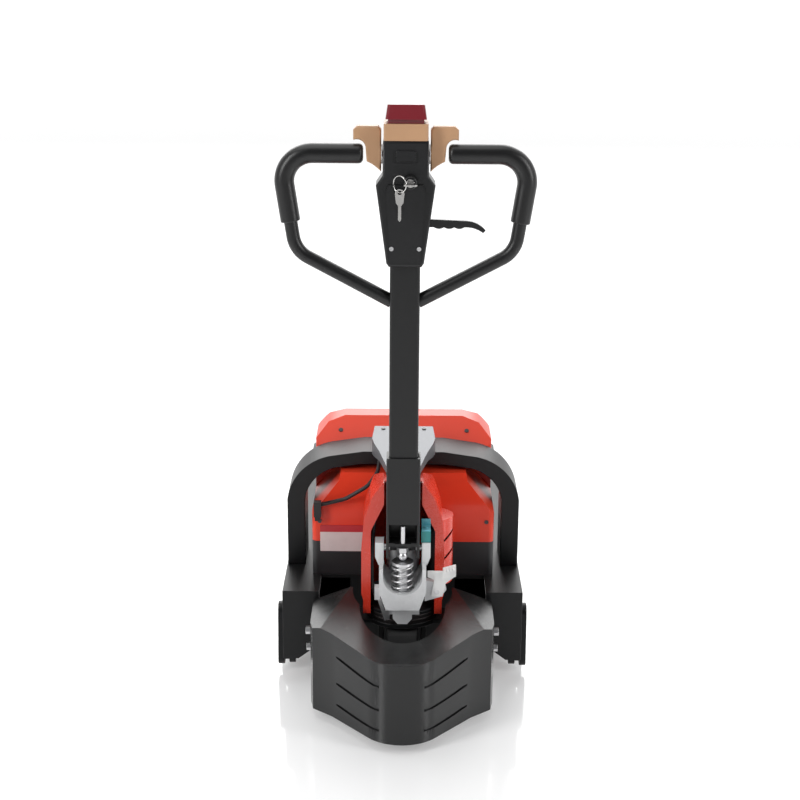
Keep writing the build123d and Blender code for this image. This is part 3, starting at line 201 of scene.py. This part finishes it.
case_plastic = coat("case_plastic", (0.06, 0.06, 0.065), 0.5, texture=900.0)
roller_plastic = coat("roller_plastic", (0.38, 0.30, 0.17), 0.45, wander=0.15, texture=400.0, dust=0.1)
print("coats", len(bpy.data.materials))

# %% [markdown]
# ## Rubber, casting and bright metal
# Rubber is dull with a sheen at its edges. The pump's casting keeps the skin of its sand mould under
# silver paint. Zinc-plated steel is drawn or ground, so its noise is stretched along one direction.

# %% Rubber and cable
def rubber(name, colour, rough, texture, depth):
    return coat(name, colour, rough, wander=0.12, texture=texture, depth=depth, strength=0.5, dust=0.05,
                Sheen_Weight=0.12, Sheen_Roughness=0.4)


grip_rubber = rubber("grip_rubber", (0.006, 0.006, 0.0063), 0.36, 1300.0, 0.00016)
cable_rubber = rubber("cable_rubber", (0.012, 0.012, 0.013), 0.45, 900.0, 0.0001)
tyre_rubber = rubber("tyre_rubber", (0.022, 0.022, 0.023), 0.65, 260.0, 0.0005)

# %% Casting
def cast_metal(name, colour, rough):
    made = Finish(name, Metallic=0.2)
    skin = made.noise(420.0, 3.0, 0.6)
    lumps = made.noise(60.0, 3.0)
    stain = made.noise(18.0, 5.0, 0.7)
    made.feed("Base Color", made.mix(stain, rgb(*[0.6 * part for part in colour]), rgb(*colour)))
    made.feed("Roughness", (rough + (stain - 0.5) * 0.25 + (skin - 0.5) * 0.15).clamped())
    made.bump(skin * 0.6 + lumps * 0.4, 0.5, 0.0006)
    return made


pump_casting = cast_metal("pump_casting_paint", (0.86, 0.87, 0.88), 0.38)
hub_metal = cast_metal("hub_metal", (0.42, 0.43, 0.44), 0.45)

# %% Steel
def steel(name, colour, rough, along=(1.0, 1.0, 1.0), depth=0.00006):
    made = Finish(name, Metallic=1.0)
    drawn = made.noise(500.0, 3.0, 0.5, made.stretched(*along))
    patch = made.noise(40.0, 4.0)
    made.feed("Base Color", made.mix(patch, rgb(*[0.78 * part for part in colour]), rgb(*colour)))
    made.feed("Roughness", (rough + (drawn - 0.5) * 0.16 + (patch - 0.5) * 0.12).clamped())
    made.bump(drawn, 0.35, depth)
    return made


zinc_steel = steel("zinc_steel", (0.78, 0.78, 0.79), 0.34, along=(1.0, 0.1, 1.0))
key_steel = steel("key_steel", (0.72, 0.71, 0.69), 0.22, along=(1.0, 1.0, 0.1))
dark_steel = steel("dark_steel", (0.10, 0.09, 0.09), 0.42)
spring_steel = steel("spring_steel", (0.9, 0.9, 0.9), 0.34)
chrome = steel("chrome", (0.82, 0.83, 0.85), 0.07, depth=0.00001)
print("metals done")

# %% [markdown]
# ## Edges
# CAD edges are razor sharp and never catch the light. Each visible node gets a twin: the same mesh with its
# flat triangles joined up, its sharp edges bevelled by the radius that folding, casting or moulding gives,
# and normals weighted to the flats. The twin stands for the node and rides on the same body.

# %% Softened twins of the CAD nodes
BODY_OF = {node: body for body, members in frame["record"]["behaviour"]["bodies"].items() for node in members}


CREASE = math.radians(38)       # shading stays sharp beyond this
FOLD = math.radians(32)         # an edge bent more than this is softened


def finish_mesh(piece, finish):
    """Smooth shading with flats kept flat, and one finish."""
    piece.data.materials.clear()
    piece.data.materials.append(finish.material)
    for face in piece.data.polygons:
        face.use_smooth = True
        face.material_index = 0
    piece.data.set_sharp_from_angle(angle=CREASE)
    weighted = piece.modifiers.new("weighted", "WEIGHTED_NORMAL")
    weighted.keep_sharp = True


def joined_mesh(node):
    """A node's mesh with its corners joined and its flat faces whole."""
    work = bmesh.new()
    work.from_mesh(NODES[node].data)
    bmesh.ops.remove_doubles(work, verts=work.verts, dist=1e-6)
    bmesh.ops.dissolve_limit(work, angle_limit=math.radians(0.8), verts=work.verts, edges=work.edges)
    return work


def softened(node, width, finish, steps=2, shortest=1.2):
    """The node's twin, with every fold longer than shortest times the width bevelled."""
    work = joined_mesh(node)
    folds = [edge for edge in work.edges if len(edge.link_faces) == 2
             and edge.calc_face_angle(0.0) > FOLD and edge.calc_length() > width * shortest]
    if width > 0 and folds:
        bmesh.ops.bevel(work, geom=folds, offset=width, segments=steps, profile=0.6, affect="EDGES",
                        clamp_overlap=True)
    mesh = bpy.data.meshes.new(node + "_soft")
    work.to_mesh(mesh)
    work.free()
    twin = bpy.data.objects.new(node + "_soft", mesh)
    bpy.context.collection.objects.link(twin)
    finish_mesh(twin, finish)
    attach(twin, BODY_OF[node])
    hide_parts(node)
    return twin


def dressed(finish, width, *nodes):
    for node in nodes:
        softened(node, width, finish)
    print(finish.material.name, "on", ", ".join(nodes))


dressed(chassis_paint, 0.0016, "arch_frame", "base_frame", "fork_left", "fork_right", "link_frame", "rockers",
        "push_rods", "roller_legs", "drive_yoke")
dressed(crown_paint, 0.0025, "crown")
dressed(tiller_paint, 0.0012, "tiller_tube", "tiller_bracket")
dressed(tiller_paint, 0.0, "handle_left", "handle_right")
dressed(guard_paint, 0.0012, "pump_guard")
dressed(cover_plastic, 0.0035, "battery_cover")
dressed(tray_plastic, 0.0018, "battery_tray")
dressed(head_plastic, 0.0014, "head_front_cover", "head_rear_cover", "key_switch", "horn_button")
dressed(head_plastic, 0.002, "lowering_lever")
dressed(tan_plastic, 0.0014, "head_top_block")
dressed(tan_plastic, 0.003, "throttle_wing_left", "throttle_wing_right")
dressed(switch_plastic, 0.0016, "belly_switch")
for grip in ("grip_left", "grip_right"):
    softened(grip, 0.006, grip_rubber, steps=4, shortest=0.0)
dressed(pump_casting, 0.0012, "pump_casting", "lift_cylinder")
dressed(chrome, 0.0, "lift_ram")
# the spring stands on the cup's floor and in the real pump shortens as the plunger goes down; here its twin
# only gets a mesh of its own
spring = softened("plunger_spring", 0.0, spring_steel)
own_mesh(spring)
dressed(zinc_steel, 0.0006, "pump_plunger", "push_bolt", "skirt_bolts", "fork_pins", "pump_pins",
        "wheel_axle", "throttle_shaft", "release_link", "head_screws")
dressed(dark_steel, 0.0006, "cover_screws", "steering_bearing")
dressed(key_steel, 0.0004, "ignition_key", "spare_key", "key_ring")
dressed(pedal_plastic, 0.0008, "release_pedal")
dressed(teal_plastic, 0.0008, "limit_switch")
dressed(bracket_coat, 0.0004, "switch_bracket")
dressed(cable_rubber, 0.0, "pump_cable", "battery_cable")
dressed(hub_metal, 0.0015, "wheel_hub", "drive_controller")
dressed(tyre_rubber, 0.001, "wheel_tyre")
dressed(roller_plastic, 0.001, "load_roller_left", "load_roller_right")
dressed(head_plastic, 0.0015, "drive_motor")
dressed(case_plastic, 0.002, "battery_pack")

# %% [markdown]
# ## The wheel skirt
# The skirt is a moulding with three slashes pressed into each slanting cheek. A pressed line is a real
# groove, so it is cut: a thin strip is laid along the skin by casting rays at it, thickened both ways, and
# taken out of the twin with a boolean once the outer corners are rounded.

# %% Cut the slashes
def strip_on(skin, start, end, wide, sink, count=14):
    """A tapered closed strip along the skin between two front-view points (x, z)."""
    tree = BVHTree.FromBMesh(skin)
    rings = []
    for step in range(count + 1):
        share = step / count
        half = wide * (0.16 + 0.84 * math.sin(math.pi * min(1.0, share * 0.62 + 0.06))) / 2
        x = start[0] + (end[0] - start[0]) * share
        z = start[1] + (end[1] - start[1]) * share
        ring = []
        for lift in (half, -half):
            spot, normal, _, _ = tree.ray_cast(Vector((x, -2.0, z + lift)), Vector((0, 1, 0)))
            ring.append((spot, normal))
        rings.append([ring[0][0] + ring[0][1] * 0.004, ring[1][0] + ring[1][1] * 0.004,
                      ring[1][0] - ring[1][1] * sink, ring[0][0] - ring[0][1] * sink])
    cutter = bmesh.new()
    loops = [[cutter.verts.new(point) for point in ring] for ring in rings]
    for one, two in zip(loops, loops[1:]):
        for corner in range(4):
            after = (corner + 1) % 4
            cutter.faces.new((one[corner], one[after], two[after], two[corner]))
    cutter.faces.new(loops[0][::-1])
    cutter.faces.new(loops[-1])
    bmesh.ops.recalc_face_normals(cutter, faces=cutter.faces)
    return cutter


def carved(base, cutters):
    """The base object's mesh with every cutter taken out of it."""
    for number, cutter in enumerate(cutters):
        mesh = bpy.data.meshes.new(f"cutter_{number}")
        cutter.to_mesh(mesh)
        cutter.free()
        tool = bpy.data.objects.new(f"cutter_{number}", mesh)
        bpy.context.collection.objects.link(tool)
        cut = base.modifiers.new("cut", "BOOLEAN")
        cut.operation = "DIFFERENCE"
        cut.solver = "EXACT"
        cut.object = tool
        bpy.context.view_layer.update()
        whole = base.evaluated_get(bpy.context.evaluated_depsgraph_get())
        carved_mesh = bpy.data.meshes.new_from_object(whole)
        base.modifiers.clear()
        base.data = carved_mesh
        bpy.data.objects.remove(tool)


SLASH_WIDTH = 0.013
SLASH_DEPTH = 0.003
SKIRT_ROUND = 0.013             # the moulding's corner radius
SLIGHT_FOLD = math.radians(8)

skin = joined_mesh("wheel_skirt")
slashes = []
for side in (-1, 1):
    for outer, inner in (((0.137, 0.166), (0.046, 0.150)), ((0.137, 0.105), (0.046, 0.098)),
                         ((0.137, 0.056), (0.046, 0.052))):
        slashes.append(strip_on(skin, (side * outer[0], outer[1]), (side * inner[0], inner[1]),
                                SLASH_WIDTH, SLASH_DEPTH))
inside = Vector((0.0, -0.70, 0.10))
outer_folds = []
for edge in skin.edges:
    middle = (edge.verts[0].co + edge.verts[1].co) / 2
    outward = all(face.normal.dot(middle - inside) > 0.02 and face.normal.z > -0.3
                  for face in edge.link_faces)
    bent = len(edge.link_faces) == 2 and edge.is_convex and edge.calc_face_angle(0.0) > SLIGHT_FOLD
    if outward and bent:
        outer_folds.append(edge)
bmesh.ops.bevel(skin, geom=outer_folds, offset=SKIRT_ROUND, segments=5, profile=0.5, affect="EDGES",
                clamp_overlap=True)
print("skirt folds", len(outer_folds))
skirt_mesh = bpy.data.meshes.new("wheel_skirt_shell")
skin.to_mesh(skirt_mesh)
skin.free()
wheel_skirt = bpy.data.objects.new("wheel_skirt_shell", skirt_mesh)
bpy.context.collection.objects.link(wheel_skirt)
carved(wheel_skirt, slashes)
finish_mesh(wheel_skirt, skirt_plastic)
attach(wheel_skirt, BODY_OF["wheel_skirt"])
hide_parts("wheel_skirt")
print("skirt faces", len(wheel_skirt.data.polygons))

# %% [markdown]
# ## The rating plate
# A plate with a red header over a pale field. It stays blank: what such a plate says is never the shape's
# business. The header is a step in height above the plate's own place, worked out from the node's box.

# %% Rating plate
low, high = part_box("rating_plate")
plate_finish = Finish("plate_print", Specular_IOR_Level=0.5)
height = plate_finish.node("ShaderNodeSeparateXYZ", {}, {0: plate_finish.place}, out="Z")
header = height > low[2] + 0.74 * (high[2] - low[2])
field = plate_finish.mix(plate_finish.noise(40.0, 4.0), rgb(0.62, 0.56, 0.55), rgb(0.78, 0.72, 0.71))
plate_finish.feed("Base Color", plate_finish.mix(header, field, rgb(0.5, 0.02, 0.03)))
plate_finish.feed("Roughness", 0.3 + plate_finish.noise(90.0) * 0.15)
plate_finish.bump(plate_finish.noise(300.0), 0.15, 0.0001)
dressed(plate_finish, 0.0004, "rating_plate")

# %% [markdown]
# ## Camera, floor and light
# The truck stands on a pale studio sweep and is seen from in front of the tiller, 17 degrees down. Black
# coats only show their shape in what they reflect, so the sky is bright behind the truck and dimmer on the
# operator's side: tops reflect the bright side at a glancing angle and fronts stay dark.

# %% Camera
camera_data = bpy.data.cameras.new("camera")
camera_data.lens = 67.5
camera_data.sensor_width = 36.0
camera_data.shift_x = -0.005
camera = bpy.data.objects.new("camera", camera_data)
camera.location = (0.0, -3.6365, 1.589)
camera.rotation_mode = "QUATERNION"
tilt = Euler((math.radians(73), 0, 0)).to_quaternion()
camera.rotation_quaternion = tilt @ Quaternion((0, 0, 1), math.radians(0.45))
bpy.context.collection.objects.link(camera)
bpy.context.scene.camera = camera

# %% Floor
floor_mesh = bpy.data.meshes.new("floor")
floor_mesh.from_pydata([(-60, -60, 0), (60, -60, 0), (60, 200, 0), (-60, 200, 0)], [], [(0, 1, 2, 3)])
floor = bpy.data.objects.new("floor", floor_mesh)
bpy.context.collection.objects.link(floor)
floor_finish = Finish("studio_floor", Specular_IOR_Level=0.9, Emission_Color=rgb(1, 1, 1),
                      Emission_Strength=0.3)
floor_finish.feed("Base Color", rgb(0.72, 0.72, 0.72))
floor_finish.feed("Roughness", 0.07 + floor_finish.noise(3.0) * 0.05)
floor_mesh.materials.append(floor_finish.material)
floor.location.z = -0.0005

# %% Sky and lights
world = bpy.data.worlds.new("studio")
bpy.context.scene.world = world
world.use_nodes = True
sky = world.node_tree
direction = sky.nodes.new("ShaderNodeTexCoord")
parts = sky.nodes.new("ShaderNodeSeparateXYZ")
ramp = sky.nodes.new("ShaderNodeValToRGB")
ramp.color_ramp.elements[0].position = 0.38
ramp.color_ramp.elements[0].color = rgb(0.11, 0.11, 0.115)
ramp.color_ramp.elements[1].position = 0.74
ramp.color_ramp.elements[1].color = rgb(1.0, 1.0, 1.0)
shift = sky.nodes.new("ShaderNodeMath")
shift.operation = "MULTIPLY_ADD"
shift.inputs[1].default_value = 0.5
shift.inputs[2].default_value = 0.5
sky.links.new(direction.outputs["Generated"], parts.inputs[0])
sky.links.new(parts.outputs["Y"], shift.inputs[0])
sky.links.new(shift.outputs[0], ramp.inputs[0])
sky.links.new(ramp.outputs[0], sky.nodes["Background"].inputs[0])
sky.nodes["Background"].inputs[1].default_value = 1.0


def panel(name, place, aim, size, power):
    """A soft rectangular light at a place, turned to a point."""
    light = bpy.data.lights.new(name, "AREA")
    light.shape = "RECTANGLE"
    light.size, light.size_y = size
    light.energy = power
    lamp = bpy.data.objects.new(name, light)
    lamp.location = place
    lamp.rotation_euler = (Vector(aim) - Vector(place)).to_track_quat("-Z", "Y").to_euler()
    lamp.visible_camera = False
    bpy.context.collection.objects.link(lamp)


panel("back_sweep", (0.0, 6.0, 4.4), (0, -0.5, 0.3), (8.0, 5.0), 400)
panel("overhead", (-0.5, -0.9, 3.6), (0, -0.4, 0), (2.2, 2.2), 22)
panel("left_front", (-2.8, -2.8, 2.4), (0, -0.5, 0.3), (0.8, 2.4), 74)
panel("right_front", (3.0, -2.2, 2.0), (0, -0.5, 0.3), (0.8, 2.4), 50)
# the studio's tones are shown as they are, so that white stays white and black stays black
bpy.context.scene.view_settings.view_transform = "Standard"
print("lit")
